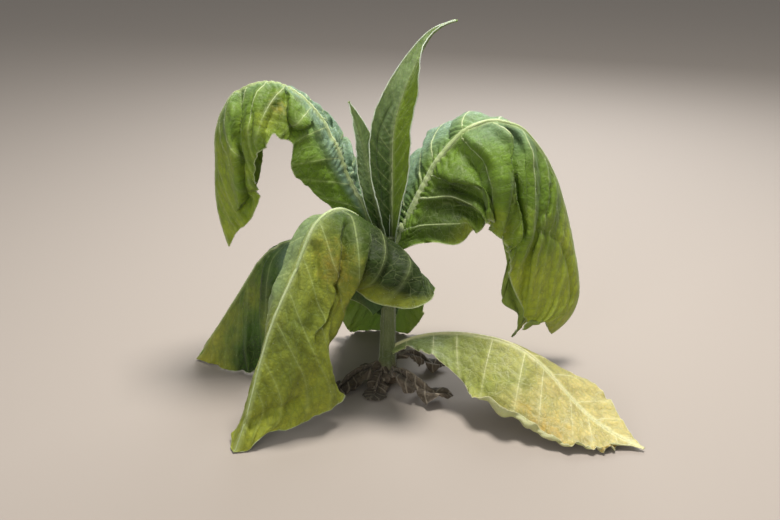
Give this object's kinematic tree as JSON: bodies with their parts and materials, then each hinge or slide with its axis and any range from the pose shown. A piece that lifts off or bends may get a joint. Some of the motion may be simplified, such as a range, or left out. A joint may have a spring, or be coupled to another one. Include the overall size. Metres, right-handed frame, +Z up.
{
  "type": "tobacco plant",
  "caption": "Whole young rooted tobacco plant, wilted: short stem, drooping broad leaves, upright young leaves at the tip and dry ones at its foot.",
  "frame": {"origin": "centre of the stem's flat cut at ground level", "axes": "+Z straight up from the ground, +X towards the right arching leaf and the yellow lowest leaf, +Y towards the rear leaf, away from the front leaf"},
  "size_m": [0.4997, 0.2937, 0.4169],
  "materials": {
    "stem": "green stem, rough and faintly hairy",
    "arched_leaf": "limp mid-green blade with pale veins, soft sheen",
    "turning_leaf": "limp yellow-green blade with pale veins, soft sheen",
    "shaded_leaf": "limp dark green blade with pale veins, soft sheen",
    "yellow_leaf": "yellow ageing blade, green towards the stem, ochre blotches",
    "young_leaf": "firm young blade with a pale rim, soft sheen",
    "dead_leaf": "dry papery brown blade, matt"
  },
  "bodies": {
    "root": {"stem": "stem", "right_arch_leaf_rise": "arched_leaf", "right_arch_leaf_fall": "arched_leaf", "left_arch_leaf_rise": "arched_leaf", "left_arch_leaf_fall": "arched_leaf", "front_leaf_rise": "turning_leaf", "front_leaf_fall": "turning_leaf", "left_rear_leaf_rise": "shaded_leaf", "left_rear_leaf_fall": "shaded_leaf", "rear_leaf_rise": "shaded_leaf", "rear_leaf_fall": "shaded_leaf", "lowest_leaf_rise": "yellow_leaf", "lowest_leaf_fall": "yellow_leaf", "tall_young_leaf": "young_leaf", "second_young_leaf": "young_leaf", "bud_leaf": "young_leaf", "left_dead_leaf": "dead_leaf", "front_dead_leaf": "dead_leaf", "right_dead_leaf": "dead_leaf", "rear_dead_leaf": "dead_leaf"}
  },
  "joints": []
}
